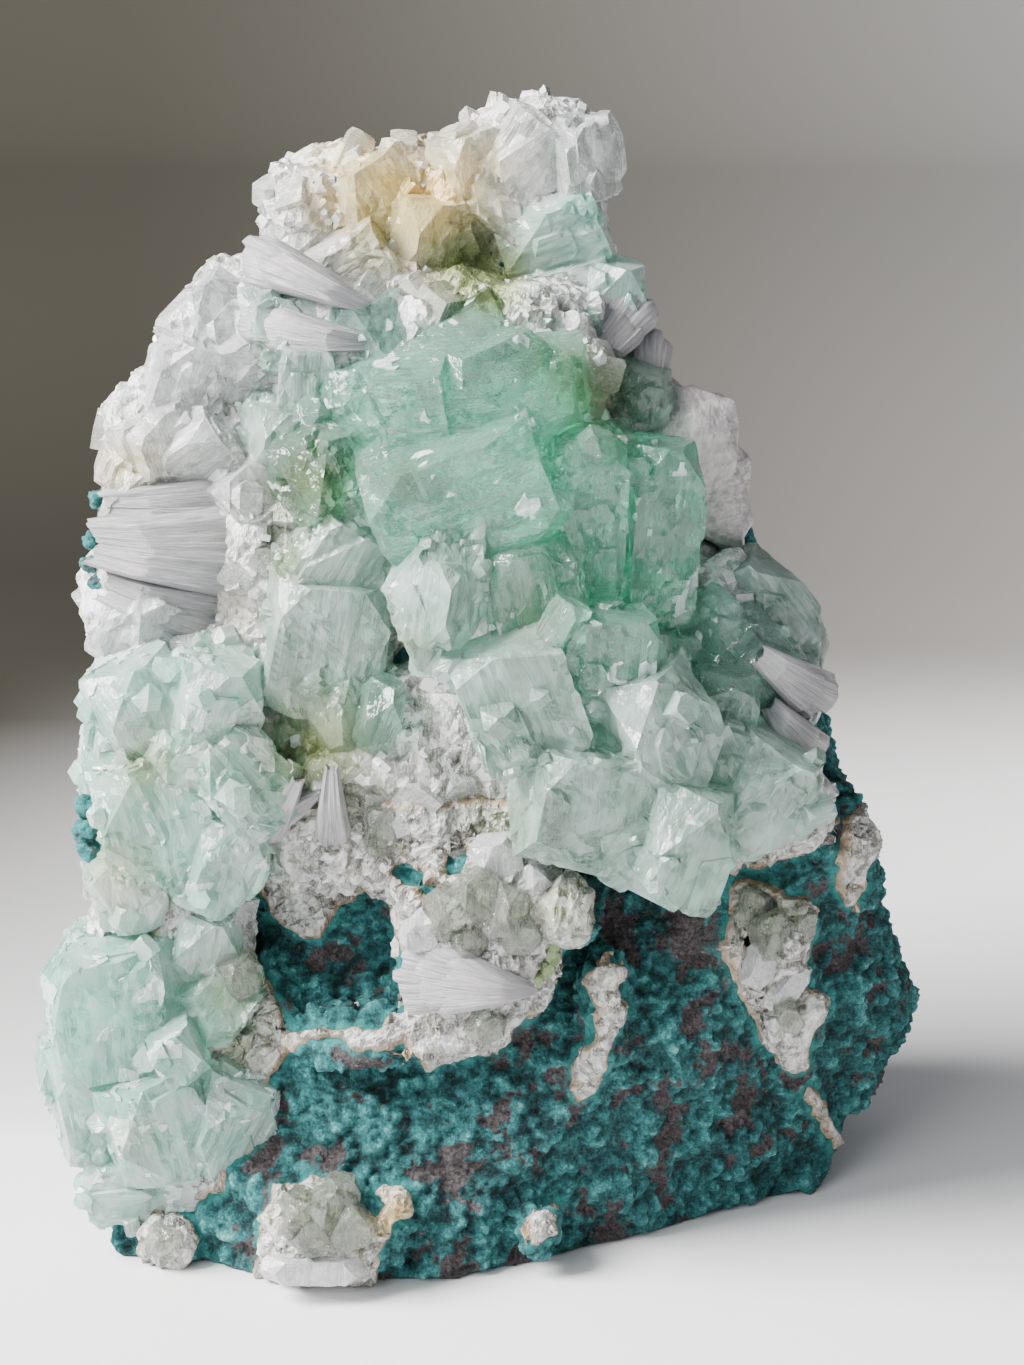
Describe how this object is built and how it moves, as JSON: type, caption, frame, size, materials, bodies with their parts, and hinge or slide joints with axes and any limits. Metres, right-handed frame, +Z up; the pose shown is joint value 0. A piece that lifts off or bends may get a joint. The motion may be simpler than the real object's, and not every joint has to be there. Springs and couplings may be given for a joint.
{
  "type": "apophyllite specimen",
  "caption": "Mint-green apophyllite crystals and white stilbite on a bed of white zeolites, grown on teal-coated basalt.",
  "frame": {"origin": "the middle of the bounding box, on the flat cut that the specimen stands on", "axes": "+Z up from the flat cut, +X to the viewer's right, the crystal-covered front faces -Y"},
  "size_m": [0.1232, 0.0878, 0.1515],
  "materials": {
    "basalt": "rough basalt with a dull, crumbly teal celadonite coating",
    "zeolite": "white drusy crust with a frosty sparkle",
    "apophyllite": "glassy mint-green crystal with cloudy veils and etched faces",
    "apophyllite_pale": "pale mint to milky crystal with etched faces",
    "stilbite": "satin, finely fibrous, pearly white",
    "filling": "white to beige granular filling with a brown rim"
  },
  "bodies": {
    "root": {"basalt_matrix": "basalt", "zeolite_bed": "zeolite", "apophyllite_main": "apophyllite", "apophyllite_left": "apophyllite_pale", "apophyllite_corner": "apophyllite_pale", "apophyllite_top": "apophyllite_pale", "stilbite_fan": "stilbite", "stilbite_upper_left": "stilbite", "stilbite_upper_right": "stilbite", "stilbite_ball": "stilbite", "stilbite_spray": "stilbite", "stilbite_sheaf": "stilbite", "filling_low": "filling", "filling_round": "filling", "filling_foot": "filling", "filling_middle": "filling", "filling_right": "filling", "filling_edge": "filling"}
  },
  "joints": []
}
